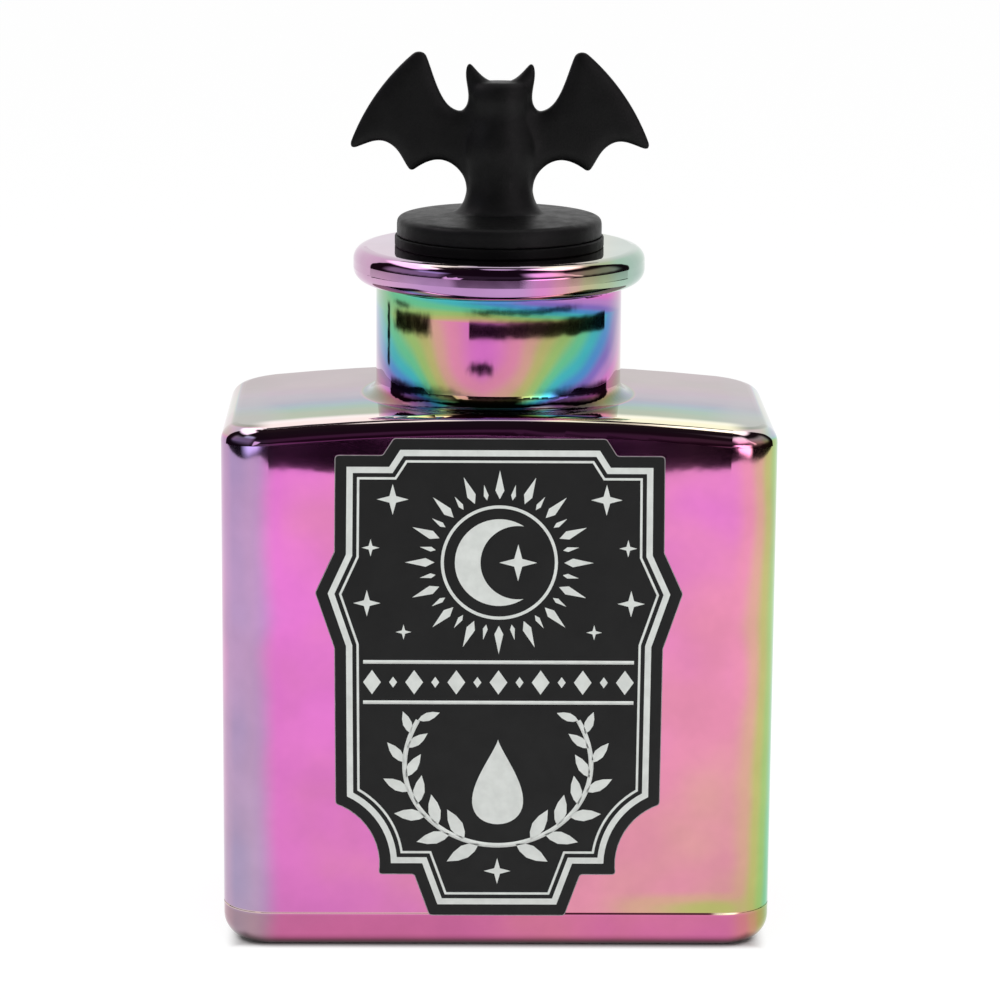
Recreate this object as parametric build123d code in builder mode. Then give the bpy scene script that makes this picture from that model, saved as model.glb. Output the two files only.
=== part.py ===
from build123d import *
import os

# A decorative poison bottle. A flat rectangular glass bottle with a round neck and a rolled lip carries
# a die-cut label on its front, and is closed by a stopper: a moulded bat on a disc, screwed down on a
# hollow plug that seals in the neck with two rings.
# Millimetres. +Z is up, the front faces -Y, and the origin is the middle of the underside.

# Glass body
body_width = 107.0
body_depth = 60.0
body_height = 102.6
shoulder_crown = 3.2
corner_radius = 9.5
shoulder_radius = 3.6
heel_radius = 5.0
wall_thickness = 3.2
base_thickness = 6.0
shoulder_thickness = 4.0
cavity_edge_radius = 3.0
rest_ring_width = 6.5
push_up_depth = 1.2
push_up_corner_radius = 5.0
push_up_edge_radius = 0.8
mould_seam_height = 7.4
mould_seam_width = 0.25
mould_seam_depth = 0.12

# Neck, mouth and lip
neck_radius = 24.0
neck_length = 21.55
neck_foot_radius = 2.8
mouth_radius = 18.8
mouth_edge_radius = 0.6
throat_edge_radius = 1.5
lip_radius = 28.5
lip_thickness = 6.9
lip_top_radius = 2.6
lip_underside_radius = 2.8
lip_root_radius = 0.8

# Label, cut from thin black film
label_half_width = 35.2
label_height = 94.5
label_foot_height = 7.15
label_thickness = 0.2
label_corner_radius = 0.8

# Stopper plug and its flange, which rests on the lip
flange_radius = 20.4
flange_thickness = 2.05
flange_edge_radius = 0.3
plug_depth = 16.0
plug_clearance = 0.5
plug_web_thickness = 2.4
plug_wall_thickness = 2.0
plug_end_chamfer = 0.8

# Seal rings in the plug's grooves
ring_section_radius = 1.3
ring_fit = 0.05
groove_side_gap = 0.2
first_groove_depth = 3.4
groove_spacing = 5.6
ring_names = ["seal_ring_upper", "seal_ring_lower"]

# Disc and bat of the topper
disc_radius = 20.0
disc_thickness = 3.6
disc_crown = 1.0
disc_edge_radius = 1.2
disc_seam_chamfer = 0.3
bat_half_span = 29.5
bat_height = 32.05
bat_half_width = 7.0
bat_half_depth = 5.6
wing_thickness = 3.2
wing_edge_radius = 0.6
wing_tip_radius = 0.7
ear_tip_radius = 0.45
valley_radius = 0.8

# Boss under the disc, and the screw and washer that pull it down on the plug's web
boss_radius = 5.0
boss_fit = 0.1
boss_relief = 0.4
screw_radius = 1.9
screw_length = 14.0
screw_head_radius = 3.6
screw_head_height = 2.4
screw_head_edge_radius = 0.8
screw_recess_width = 0.8
screw_recess_span = 4.2
screw_recess_depth = 1.3
screw_fit = 0.05
screw_tip_gap = 1.0
screw_tip_chamfer = 0.5
washer_radius = 8.0
washer_thickness = 1.0
washer_hole_gap = 0.25

# Every cut starts or ends this far outside what it cuts
cut_overrun = 1.0

# Heights that the pieces share
shoulder_top = body_height + shoulder_crown
lip_underside = shoulder_top + neck_length
mouth_height = lip_underside + lip_thickness
flange_top = mouth_height + flange_thickness
disc_top = flange_top + disc_thickness
web_underside = mouth_height - plug_web_thickness
plug_end = mouth_height - plug_depth

# Half outline of the label, as shares of its half width and its height, from the top down
label_top_share = (0.574, 1.0)
label_upper_notch_share = (0.634, 0.965)
label_panel_top_share = (0.892, 0.965)
label_panel_side_share = (0.896, 0.766)
label_widest_share = (1.0, 0.681)
label_lower_side_share = (0.896, 0.566)
label_scoop_start_share = (0.891, 0.238)
label_scoop_middle_share = (0.736, 0.198)
label_scoop_end_share = (0.654, 0.088)
label_lower_notch_share = (0.458, 0.088)
label_foot_share = (0.373, 0.0)

# Half outline of the wings, head and ears, as shares of the bat's half span and height
waist_share = (0.220, 0.172)
lower_arch_shares = [(0.281, 0.295), (0.400, 0.346), (0.493, 0.326)]
low_point_share = (0.584, 0.270)
outer_arch_shares = [(0.636, 0.345), (0.681, 0.408), (0.779, 0.460), (0.888, 0.440)]
wing_end_share = (1.0, 0.404)
leading_edge_share = (0.827, 0.726)
wing_top_outer_share = (0.574, 0.987)
wing_top_share = (0.534, 1.0)
wing_top_inner_share = (0.489, 0.980)
inner_edge_shares = [(0.448, 0.876), (0.397, 0.756), (0.326, 0.665)]
valley_share = (0.254, 0.640)
head_side_shares = [(0.215, 0.690), (0.217, 0.790)]
ear_tip_share = (0.206, 0.938)
inner_ear_shares = [(0.144, 0.876), (0.079, 0.829)]
head_top_share = (0.0, 0.8206)

# Sections of the bat's body, from its foot to its crown: height as a share of the bat's height, and the
# half width and half depth as shares of its fullest ones
body_section_shares = [
    (0.0, 1.36, 1.40),
    (0.045, 1.15, 1.16),
    (0.095, 1.00, 0.98),
    (0.172, 0.92, 0.89),
    (0.330, 0.99, 0.98),
    (0.480, 0.97, 1.00),
    (0.620, 0.78, 0.74),
    (0.700, 0.84, 0.84),
    (0.770, 0.84, 0.82),
    (0.8206, 0.70, 0.58),
]


def arched_block(width, depth, floor, side_height, crown, upright_radius, top_radius, bottom_radius):
    """A block from floor up, with an arched top and every edge rounded"""
    with BuildPart() as block:
        with BuildSketch(Plane.XZ):
            with BuildLine():
                Polyline(
                    (-width / 2, side_height),
                    (-width / 2, floor),
                    (width / 2, floor),
                    (width / 2, side_height),
                )
                ThreePointArc((-width / 2, side_height), (0, side_height + crown), (width / 2, side_height))
            make_face()
        extrude(amount=depth / 2, both=True)
        fillet(block.edges().filter_by(Axis.Z), radius=upright_radius)
        fillet(block.faces().sort_by(Axis.Z)[-1].edges(), radius=top_radius)
        fillet(block.faces().sort_by(Axis.Z)[0].edges(), radius=bottom_radius)
    return block.part


def label_point(share):
    """A point of the label's outline from its shares"""
    return (label_half_width * share[0], label_foot_height + label_height * share[1])


def bat_point(share):
    """A point of the bat's outline from its shares"""
    return (bat_half_span * share[0], disc_top + bat_height * share[1])


# The glass, moulded in one: body, shoulder, neck and lip, hollow inside
cavity_width = body_width - 2 * wall_thickness
cavity_depth = body_depth - 2 * wall_thickness
cavity_crown = shoulder_crown * (cavity_width / body_width) ** 2
cavity_top = shoulder_top - shoulder_thickness
neck_root = cavity_top - cavity_crown

glass_block = arched_block(
    body_width,
    body_depth,
    0,
    body_height,
    shoulder_crown,
    corner_radius,
    shoulder_radius,
    heel_radius,
)
cavity_block = arched_block(
    cavity_width,
    cavity_depth,
    base_thickness,
    cavity_top - cavity_crown,
    cavity_crown,
    corner_radius - wall_thickness,
    cavity_edge_radius,
    cavity_edge_radius,
)

with BuildPart() as glass_bottle:
    add(glass_block)
    # Neck and lip, turned about the bottle's axis
    with BuildSketch(Plane.XZ) as neck_section:
        with Locations((0, neck_root)):
            Rectangle(neck_radius, lip_underside - neck_root, align=(Align.MIN, Align.MIN))
        with Locations((0, lip_underside)):
            Rectangle(lip_radius, lip_thickness, align=(Align.MIN, Align.MIN))
        lip_corners = neck_section.vertices().group_by(Axis.X)[-1].sort_by(Axis.Y)
        fillet(lip_corners[0], radius=lip_underside_radius)
        lip_corners = neck_section.vertices().group_by(Axis.Y)[-1].sort_by(Axis.X)
        fillet(lip_corners[-1], radius=lip_top_radius)
        lip_root = neck_section.vertices().sort_by_distance((neck_radius, lip_underside))[0]
        fillet(lip_root, radius=lip_root_radius)
    revolve(axis=Axis.Z)
    fillet(glass_bottle.edges(Select.NEW), radius=neck_foot_radius)
    # Hollow of the body, and the throat that leads up to the mouth
    add(cavity_block, mode=Mode.SUBTRACT)
    with BuildSketch(Plane.XY.offset(neck_root)):
        Circle(mouth_radius)
    extrude(amount=mouth_height - neck_root + cut_overrun, mode=Mode.SUBTRACT)
    throat_edges = glass_bottle.edges(Select.NEW).sort_by(Axis.Z)
    fillet(throat_edges[-1], radius=mouth_edge_radius)
    fillet(throat_edges[0], radius=throat_edge_radius)
    # Push-up under the base, inside the ring that the bottle stands on
    push_up_inset = heel_radius + rest_ring_width
    with BuildSketch(Plane.XY):
        RectangleRounded(
            body_width - 2 * push_up_inset,
            body_depth - 2 * push_up_inset,
            push_up_corner_radius,
        )
    extrude(amount=push_up_depth, mode=Mode.SUBTRACT)
    push_up_roof = glass_bottle.faces().filter_by(Axis.Z).group_by(Axis.Z)[1]
    fillet(push_up_roof.edges(), radius=push_up_edge_radius)
    # Fine groove round the body, where the mould's base plate met its sides
    with BuildSketch(Plane.XY.offset(mould_seam_height)):
        Rectangle(body_width + cut_overrun, body_depth + cut_overrun)
        RectangleRounded(
            body_width - 2 * mould_seam_depth,
            body_depth - 2 * mould_seam_depth,
            corner_radius - mould_seam_depth,
            mode=Mode.SUBTRACT,
        )
    extrude(amount=mould_seam_width, mode=Mode.SUBTRACT)

# The label lies on the flat of the front
with BuildPart() as front_label:
    with BuildSketch(Plane.XZ.offset(body_depth / 2)) as label_outline:
        with BuildLine():
            Polyline(
                (0, label_foot_height + label_height),
                label_point(label_top_share),
                label_point(label_upper_notch_share),
                label_point(label_panel_top_share),
                label_point(label_panel_side_share),
                label_point(label_widest_share),
                label_point(label_lower_side_share),
                label_point(label_scoop_start_share),
            )
            ThreePointArc(
                label_point(label_scoop_start_share),
                label_point(label_scoop_middle_share),
                label_point(label_scoop_end_share),
            )
            Polyline(
                label_point(label_scoop_end_share),
                label_point(label_lower_notch_share),
                label_point(label_foot_share),
                (0, label_foot_height),
            )
            mirror(about=Plane.YZ)
        make_face()
        fillet(label_outline.vertices(), radius=label_corner_radius)
    extrude(amount=label_thickness)

# The plug: a flange on the lip, and a hollow shank with a groove for each seal ring
plug_radius = mouth_radius - plug_clearance
groove_floor_radius = mouth_radius - 2 * ring_fit - 2 * ring_section_radius
groove_width = 2 * ring_section_radius + 2 * groove_side_gap
groove_heights = [
    mouth_height - first_groove_depth - groove_spacing * index for index in range(len(ring_names))
]

with BuildPart() as stopper_plug:
    with BuildSketch(Plane.XY.offset(mouth_height)):
        Circle(flange_radius)
    extrude(amount=flange_thickness)
    fillet(stopper_plug.edges().filter_by(GeomType.CIRCLE), radius=flange_edge_radius)
    with BuildSketch(Plane.XY.offset(plug_end)):
        Circle(plug_radius)
    extrude(amount=plug_depth)
    with BuildSketch(Plane.XY.offset(plug_end)):
        Circle(groove_floor_radius - plug_wall_thickness)
    extrude(amount=plug_depth - plug_web_thickness, mode=Mode.SUBTRACT)
    chamfer(stopper_plug.edges().group_by(Axis.Z)[0].sort_by(SortBy.RADIUS)[-1], length=plug_end_chamfer)
    for height in groove_heights:
        with BuildSketch(Plane.XY.offset(height - groove_width / 2)):
            Circle(plug_radius + cut_overrun)
            Circle(groove_floor_radius, mode=Mode.SUBTRACT)
        extrude(amount=groove_width, mode=Mode.SUBTRACT)
    with BuildSketch(Plane.XY.offset(web_underside)):
        Circle(boss_radius + boss_fit)
    extrude(amount=plug_web_thickness + flange_thickness + cut_overrun, mode=Mode.SUBTRACT)

# The topper, moulded in one: bat, disc, and the boss that centres it in the plug
boss_end = web_underside + boss_relief
screw_head_top = web_underside - washer_thickness
screw_tip = screw_head_top + screw_length

with BuildPart() as bat_topper:
    # Wings and ears, one flat moulding with rounded edges
    with BuildSketch(Plane.XZ) as wing_outline:
        with BuildLine():
            Line((0, bat_point(waist_share)[1]), bat_point(waist_share))
            Spline(
                bat_point(waist_share),
                *[bat_point(share) for share in lower_arch_shares],
                bat_point(low_point_share),
            )
            Spline(
                bat_point(low_point_share),
                *[bat_point(share) for share in outer_arch_shares],
                bat_point(wing_end_share),
            )
            ThreePointArc(
                bat_point(wing_end_share),
                bat_point(leading_edge_share),
                bat_point(wing_top_outer_share),
            )
            ThreePointArc(
                bat_point(wing_top_outer_share),
                bat_point(wing_top_share),
                bat_point(wing_top_inner_share),
            )
            Spline(
                bat_point(wing_top_inner_share),
                *[bat_point(share) for share in inner_edge_shares],
                bat_point(valley_share),
            )
            Spline(
                bat_point(valley_share),
                *[bat_point(share) for share in head_side_shares],
                bat_point(ear_tip_share),
            )
            Spline(
                bat_point(ear_tip_share),
                *[bat_point(share) for share in inner_ear_shares],
                bat_point(head_top_share),
            )
            mirror(about=Plane.YZ)
        make_face()
        for share, radius in (
            (low_point_share, wing_tip_radius),
            (wing_end_share, wing_tip_radius),
            (ear_tip_share, ear_tip_radius),
            (valley_share, valley_radius),
        ):
            for side in (-1, 1):
                corner = (side * bat_point(share)[0], bat_point(share)[1])
                fillet(wing_outline.vertices().sort_by_distance(corner)[0], radius=radius)
    extrude(amount=wing_thickness / 2, both=True)
    fillet(bat_topper.faces().filter_by(Axis.Y).edges(), radius=wing_edge_radius)
    # Disc, a little higher in the middle than at its rim
    with BuildSketch(Plane.XZ) as disc_section:
        with BuildLine():
            Polyline(
                (0, disc_top + disc_crown),
                (0, flange_top),
                (disc_radius, flange_top),
                (disc_radius, disc_top),
            )
            TangentArc((0, disc_top + disc_crown), (disc_radius, disc_top), tangent=(1, 0))
        make_face()
        disc_rims = disc_section.vertices().group_by(Axis.X)[-1].sort_by(Axis.Y)
        fillet(disc_rims[-1], radius=disc_edge_radius)
        chamfer(disc_rims[0], length=disc_seam_chamfer)
    revolve(axis=Axis.Z)
    # Body and head
    for height_share, width_share, depth_share in body_section_shares:
        with BuildSketch(Plane.XY.offset(disc_top + bat_height * height_share)):
            Ellipse(bat_half_width * width_share, bat_half_depth * depth_share)
    loft()
    # Boss, and the pilot hole for the screw
    with BuildSketch(Plane.XY.offset(boss_end)):
        Circle(boss_radius)
    extrude(amount=flange_top - boss_end)
    with BuildSketch(Plane.XY.offset(boss_end)):
        Circle(screw_radius + screw_fit)
    extrude(amount=screw_tip + screw_tip_gap - boss_end, mode=Mode.SUBTRACT)

with BuildPart() as plug_washer:
    with BuildSketch(Plane.XY.offset(screw_head_top)):
        Circle(washer_radius)
        Circle(screw_radius + washer_hole_gap, mode=Mode.SUBTRACT)
    extrude(amount=washer_thickness)

with BuildPart() as plug_screw:
    with BuildSketch(Plane.XY.offset(screw_head_top - screw_head_height)):
        Circle(screw_head_radius)
    extrude(amount=screw_head_height)
    fillet(plug_screw.edges().sort_by(Axis.Z)[0], radius=screw_head_edge_radius)
    with BuildSketch(Plane.XY.offset(screw_head_top)):
        Circle(screw_radius)
    extrude(amount=screw_length)
    chamfer(plug_screw.edges().sort_by(Axis.Z)[-1], length=screw_tip_chamfer)
    # Cross recess
    with BuildSketch(Plane.XY.offset(screw_head_top - screw_head_height)):
        Rectangle(screw_recess_span, screw_recess_width)
        Rectangle(screw_recess_width, screw_recess_span)
    extrude(amount=screw_recess_depth, mode=Mode.SUBTRACT)

seal_rings = []
for height in groove_heights:
    with BuildPart() as seal_ring:
        with BuildSketch(Plane.XZ):
            with Locations((mouth_radius - ring_fit - ring_section_radius, height)):
                Circle(ring_section_radius)
        revolve(axis=Axis.Z)
    seal_rings.append(seal_ring)

glass_bottle.part.label = "glass_bottle"
front_label.part.label = "front_label"
bat_topper.part.label = "bat_topper"
stopper_plug.part.label = "stopper_plug"
plug_washer.part.label = "plug_washer"
plug_screw.part.label = "plug_screw"
for seal_ring, ring_name in zip(seal_rings, ring_names):
    seal_ring.part.label = ring_name

os.makedirs("parts", exist_ok=True)
export_step(glass_bottle.part, "parts/glass_bottle.step")
export_step(front_label.part, "parts/front_label.step")
export_step(bat_topper.part, "parts/bat_topper.step")
export_step(stopper_plug.part, "parts/stopper_plug.step")
export_step(plug_washer.part, "parts/plug_washer.step")
export_step(plug_screw.part, "parts/plug_screw.step")
for seal_ring, ring_name in zip(seal_rings, ring_names):
    export_step(seal_ring.part, f"parts/{ring_name}.step")
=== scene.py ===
import math
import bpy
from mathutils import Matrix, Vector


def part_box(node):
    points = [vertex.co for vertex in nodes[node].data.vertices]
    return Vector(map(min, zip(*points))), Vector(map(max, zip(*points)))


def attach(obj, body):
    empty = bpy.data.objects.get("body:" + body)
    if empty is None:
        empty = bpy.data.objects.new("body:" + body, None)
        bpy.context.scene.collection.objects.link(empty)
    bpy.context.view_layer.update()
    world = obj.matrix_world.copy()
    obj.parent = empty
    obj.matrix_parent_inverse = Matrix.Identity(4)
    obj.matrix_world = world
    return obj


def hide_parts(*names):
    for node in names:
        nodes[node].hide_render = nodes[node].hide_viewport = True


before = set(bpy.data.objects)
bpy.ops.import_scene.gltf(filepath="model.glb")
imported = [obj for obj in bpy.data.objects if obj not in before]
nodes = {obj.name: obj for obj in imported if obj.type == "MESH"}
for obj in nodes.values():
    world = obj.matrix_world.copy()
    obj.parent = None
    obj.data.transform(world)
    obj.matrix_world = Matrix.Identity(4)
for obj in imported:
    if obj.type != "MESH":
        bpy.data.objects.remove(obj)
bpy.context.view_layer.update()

from types import SimpleNamespace

import bmesh
import bpy
from mathutils import Matrix, Vector

# A poison bottle in iridescent plated glass, with a black bat stopper and a black die-cut label.
# Metres. +Z is up, the front faces -Y, and the origin is the middle of the underside.
glass_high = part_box("glass_bottle")[1]
topper_low, topper_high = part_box("bat_topper")
label_low, label_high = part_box("front_label")

# Soft rubber of the bat
POINT_MERGE = 0.000002
SOFT_GRAIN = 0.00036
SOFT_FACTOR = 0.5
SOFT_PASSES = 8
BODY_PASSES = 160
BODY_START = 0.0012
BODY_FADE = 0.0030
FOOT_FADE = 0.0006

# Outline of the die-cut label from the top down, as shares of its half width and of its height
LABEL_TOP_SHARES = (
    (0.574, 1.0), (0.634, 0.965), (0.892, 0.965), (0.896, 0.766), (1.0, 0.681), (0.896, 0.566),
)
LABEL_SCOOP_SHARES = ((0.891, 0.238), (0.736, 0.198), (0.654, 0.088))
LABEL_FOOT_SHARES = ((0.458, 0.088), (0.373, 0.0))
LABEL_SCOOP_STEPS = 12
CUT_EDGE_WIDTH = 0.00014
CUT_CORNER_RADIUS = 0.0008
CUT_CORNER_TURN = math.radians(12)

# White print on the label
INK_HEIGHT = 0.00005
INK_SUNK = 0.00002
EDGE_RULE_INSET = 0.0022
EDGE_RULE_WIDTH = 0.0012
FINE_RULE_INSET = 0.0042
FINE_RULE_WIDTH = 0.00045
MOON_HEIGHT_SHARE = 0.745
MOON_RADIUS = 0.0085
MOON_BITE_RADIUS = 0.0072
MOON_BITE_SHIFT = 0.0036
MOON_RING_RADIUS = 0.0112
MOON_RING_WIDTH = 0.0006
RAY_RING_RADIUS = 0.0124
RAY_LENGTH = 0.0056
RAY_WIDTH = 0.0017
RAY_WAIST_SHARE = 0.3
RAY_COUNT = 32
SHORT_RAY_SHARE = 0.55
STAR_PLACES = ((0.58, 0.875, 0.0030), (0.70, 0.775, 0.0017), (0.72, 0.66, 0.0026), (0.52, 0.60, 0.0015))
STAR_WAIST_SHARE = 0.30
BAND_HEIGHT_SHARE = 0.495
BAND_HALF_HEIGHT = 0.0040
BAND_RULE_WIDTH = 0.0007
BAND_HALF_WIDTH_SHARE = 0.74
DIAMOND_COUNT = 13
DIAMOND_WIDTH = 0.0034
DIAMOND_HEIGHT = 0.0048
SMALL_DIAMOND_SHARE = 0.45
DROP_HEIGHT_SHARE = 0.285
DROP_WIDTH = 0.0110
DROP_LENGTH = 0.0170
DROP_TIP_POWER = 1.6
DROP_SWELL = 1.3
SPRIG_FOOT_SHARE = 0.150
SPRIG_BEND_SHARES = ((0.34, SPRIG_FOOT_SHARE), (0.66, 0.27), (0.44, 0.415))
SPRIG_STEM_WIDTH = 0.0009
SPRIG_BARE_STEPS = 4
LEAF_LENGTH = 0.0072
LEAF_WIDTH = 0.0027
LEAF_SIDE_SHARES = ((0.34, 0.2), (0.5, 0.45), (0.36, 0.72))
LEAF_COUNT = 12
LEAF_LEAN = math.radians(42)
LEAF_TIP_SHARE = 0.62
FOOT_STAR_DROP = 0.0052
FOOT_STAR_REACH = 0.0026
ACROSS_PATH = -math.pi / 2

# Zones of the film on the glass: heights and reaches in millimetres, or how far up the glass faces. A pair
# holds both ends of a blend
MILLIMETRES = 1000.0
SEAM_HEIGHT = 7.4
SEAM_BLEND = 0.4
SEAM_LINE = (0.12, 0.26)
BODY_TOP_RISE = (100.0, 101.0)
NECK_RISE = (108.5, 110.0)
NECK_REACH = (26.2, 27.4)
LIP_RISE = (126.9, 127.8)
TOP_FACING = (0.85, 0.97)
TOP_FRONT = 26.4
TOP_STEP = 2.3
ROUNDED_FACING = (0.2, 0.6)
LEFT_CORNER_SHARE = (0.05, 0.6)
FRONT_OUT = (16.0, 22.0)
FRONT_DEPTH = (-18.0, -12.0)

# How far the film's colour shifts on the walls, and where
WALL_SHIFT = 0.062
WALL_SHIFT_PER_MM = 0.0012
UNDER_SEAM_SHIFT = 0.005
SHOULDER_SHIFTS = (-0.01, -0.07)
SHOULDER_ACROSS = (-46.0, 10.0)
SHOULDER_RISE = (62.0, 98.0)
GOLD_SHIFT = 0.16
GOLD_ACROSS = (15.0, 42.0)
GOLD_OUT = (44.0, 50.0)
GOLD_RISE = (8.5, 12.5)
CORNER_DEPTH = (2.0, 21.0)
RIGHT_CORNER_START = 44.0
RIGHT_CORNER_REACH = 9.5
RIGHT_CORNER_POWER = 1.9
RIGHT_CORNER_SHIFT = 0.38
LEFT_CORNER_START = 41.0
LEFT_CORNER_REACH = 12.5
LEFT_CORNER_SHIFT = -0.03
LEFT_EDGE_SHIFT = -0.09
LEFT_CORNER_RISE = (0.0, 0.7)
LEFT_EDGE_SHARE = (0.78, 1.0)
RIM_OUT = (49.0, 52.5)
RIM_SHIFT = 0.32
TOP_SHIFT = 0.40
TOP_EDGE_STEPS = (2.0, 12.0)
TOP_EDGE_SHIFT = 0.50
TOP_NECK_STEPS = (10.0, 18.0)
TOP_NECK_SHIFT = 0.25

# How far it shifts on the neck and the lip, and where
QUARTER = math.radians(90)
NECK_TURN = math.radians(8)
NECK_RING_POWER = 1.25
NECK_RING_SHIFT = 0.83
NECK_SHIFT = 0.04
NECK_LEAN_TOP = 123.0
NECK_LEAN_PER_MM = 0.0200
NECK_LEAN_RING = (0.05, 0.35)
NECK_FOOT_TOP = 116.0
NECK_FOOT_REACH = 7.0
NECK_FOOT_SHIFT = 0.12
NECK_FLARE_FACING = (0.0, 0.8)
NECK_FLARE_SHIFT = 0.30
UNDER_LIP_START = 122.7
UNDER_LIP_REACH = 3.8
UNDER_LIP_POWER = 0.6
UNDER_LIP_SHIFT = 0.74
UNDER_LIP_SHIFT_PER_MM = 0.0115
LIP_SHIFT = 0.95
LIP_RIGHT = (2.0, 27.0)
LIP_RIGHT_SHIFT = 0.55
LIP_LEFT = (14.0, 24.0)
LIP_LEFT_SHIFT = 0.05

# Where the film is pale, and how much
TOP_PALE_STEPS = (4.0, 11.0)
TOP_PALE = (0.15, 0.62)
TOP_SIDE_OUT = (36.0, 48.0)
TOP_SIDE_PALE = 0.72
ROUNDED_PALE = 0.75
LEFT_CORNER_PALE = 0.34
NECK_SIDE_OUT = (20.5, 24.0)
NECK_SIDE_PALE = 0.45
LIP_PALE = 0.20
LIP_SIDE_OUT = (12.0, 27.0)
LIP_SIDE_PALE = 0.36
LIP_TOP_FACING = (0.6, 0.95)
LIP_TOP_PALE = 0.68

# Where the film's colour is darker, and by what it is multiplied there: on the top, round the foot of the
# neck and at the heel this is painted shade
LOW_RISE = (5.0, 78.0)
LOW_ACROSS = (-20.0, 20.0)
LOW_SHADES = ((0.86, 0.93, 0.80), (0.92, 0.98, 0.88))
UNDER_SEAM_RISE = (6.6, 8.0)
UNDER_SEAM_SHADE = (0.84, 0.76, 0.62)
HIGH_CORNER_RISE = (12.0, 60.0)
HIGH_CORNER_SHADE = (0.93, 0.86, 0.86)
NECK_SHADE = (0.86, 0.86, 0.86)
# Painted shade: the body's top is darkened, for the dimmer light that it reflects
TOP_PAINTED_SHADE = (0.54, 0.54, 0.54)
# Painted shade: the top in front of the neck and the foot of the neck, darkest in front, stand in for the
# dark studio and neck that they reflect
TOP_FRONT_PAINTED_SHADE = (0.22, 0.32, 0.27)
NECK_FOOT_FACING = (0.10, 0.55)
NECK_FOOT_PAINTED_SHADES = ((0.58, 0.50, 0.55), (0.12, 0.20, 0.16))
# Painted shade at the heel, for the floor's shadow under the bottle that it reflects
HEEL_RISE = (0.7, 3.4)
HEEL_PAINTED_SHADE = (0.26, 0.16, 0.17)

# Mould seam, painted as light and shade: its shaded dark part from left to right, its painted glint and its
# pale painted highlight
SEAM_SHADE_START = (-2.0, 6.0)
SEAM_SHADE_END = (41.0, 43.5)
SEAM_GLINT_START = (41.5, 43.5)
SEAM_GLINT_END = (46.0, 47.5)
SEAM_HIGHLIGHT_END = (-8.0, 0.0)
SEAM_HIGHLIGHT_SHARE = 0.35

# Painted highlight: a nearly silver crest along the front edge of the shoulder
CREST_FACING = (0.60, 0.75)
CREST_DEPTH = (-25.6, -22.2)
CREST_START_OUT = (4.0, 12.0)
CREST_END_OUT = (43.0, 48.0)
CREST_ACROSS = (-40.0, 40.0)

# Clouds in the film, its waves, and its dull inner side
DRIFT_SCALE = 22.0
DRIFT_SHIFTS = (-0.05, 0.05)
CLOUD_SCALE = 75.0
CLOUD_SHADES = (0.90, 1.03)
GLOSS_SCALE = 35.0
GLOSS_ROUGHNESS = (0.015, 0.045)
WAVE_SCALE = 70.0
WAVE_DEPTH = 0.0000035
INSIDE_OUTWARD = (-6.0, -2.0)
INSIDE_ROUGHNESS = 0.30
INSIDE_METAL = 0.25

# Camera
CAMERA_DISTANCE = 0.800
CAMERA_AIM_HEIGHT = 0.0833
CAMERA_PITCH = 0.2117
CAMERA_TURN = 0.0157
CAMERA_ROLL = 0.0073
CAMERA_FOCAL_WIDTHS = 4.041
CAMERA_SENSOR = 36.0
CAMERA_SHIFT = 0.00267

# Clouds in every finish
MOTTLE_SPREAD = (0.25, 0.75)
ROUGHNESS_CLOUDS = 2.6

# Floor and lamps
FLOOR_HALF_SIZE = 6.0
FLOOR_SHADOW_SHARE = 0.25
FLOOR_WHITE = (0.85, 0.85, 0.85, 1.0)
FLOOR_GLOW = 1.15
CONTACT_REACH = 0.004
UNSEEN_LIGHT = 0.6
SOFTBOX_AIM_HEIGHT = 0.09
SOFTBOX_DISTANCE = 0.70
SOFTBOX_SIZE = 0.30
SOFTBOX_POWER = 1.6

# The dark part of the studio round the camera, which only reflections see
EYE_HEIGHT = 0.10
BAND_RADIUS = 0.482
BAND_GROWTH = 0.052
BAND_FLAT_TURN = 3.0
BAND_GROWTH_TURN = 14.0
ROOM_RADIUS = 0.80
ROOM_DOME = 0.93
ROOM_TURN = 122
ROOM_SEGMENTS = 96
PROFILE_STEPS = 24
TORN_SCALE = 300.0
TORN_STRETCH = (0.08, 0.08, 1.0)
UNLIT = (0.014, 0.008, 0.012)
BLACK = (0.010, 0.008, 0.010)
ROSY = (1.0, 0.90, 0.97)
LILAC = (0.90, 0.82, 1.0)
BLUISH = (0.72, 0.80, 1.0)


def feed(tree, socket, value):
    """Links a node's input to a socket, or sets it to a plain value"""
    if isinstance(value, bpy.types.NodeSocket):
        tree.links.new(value, socket)
    else:
        socket.default_value = value


def node(tree, kind, inputs=None, **settings):
    """A new node of a tree, with its settings and with its inputs, by name or place, linked or set"""
    made = tree.nodes.new(kind)
    for name, value in settings.items():
        setattr(made, name, value)
    for name, value in (inputs or {}).items():
        feed(tree, made.inputs[name], value)
    return made


def math_node(tree, operation, *values, clamp=False):
    """A Math node whose inputs are numbers or sockets; gives its output socket"""
    made = node(tree, "ShaderNodeMath", dict(enumerate(values)), operation=operation, use_clamp=clamp)
    return made.outputs[0]


def times(tree, *values):
    """The product of numbers or sockets"""
    product = values[0]
    for value in values[1:]:
        product = math_node(tree, "MULTIPLY", product, value)
    return product


def plus(tree, *values):
    """The sum of numbers or sockets"""
    total = values[0]
    for value in values[1:]:
        total = math_node(tree, "ADD", total, value)
    return total


def minus(tree, first, second):
    """The first less the second"""
    return math_node(tree, "SUBTRACT", first, second)


def larger(tree, first, second):
    """The larger of two"""
    return math_node(tree, "MAXIMUM", first, second)


def size_of(tree, value):
    """A value without its sign"""
    return math_node(tree, "ABSOLUTE", value)


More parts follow.
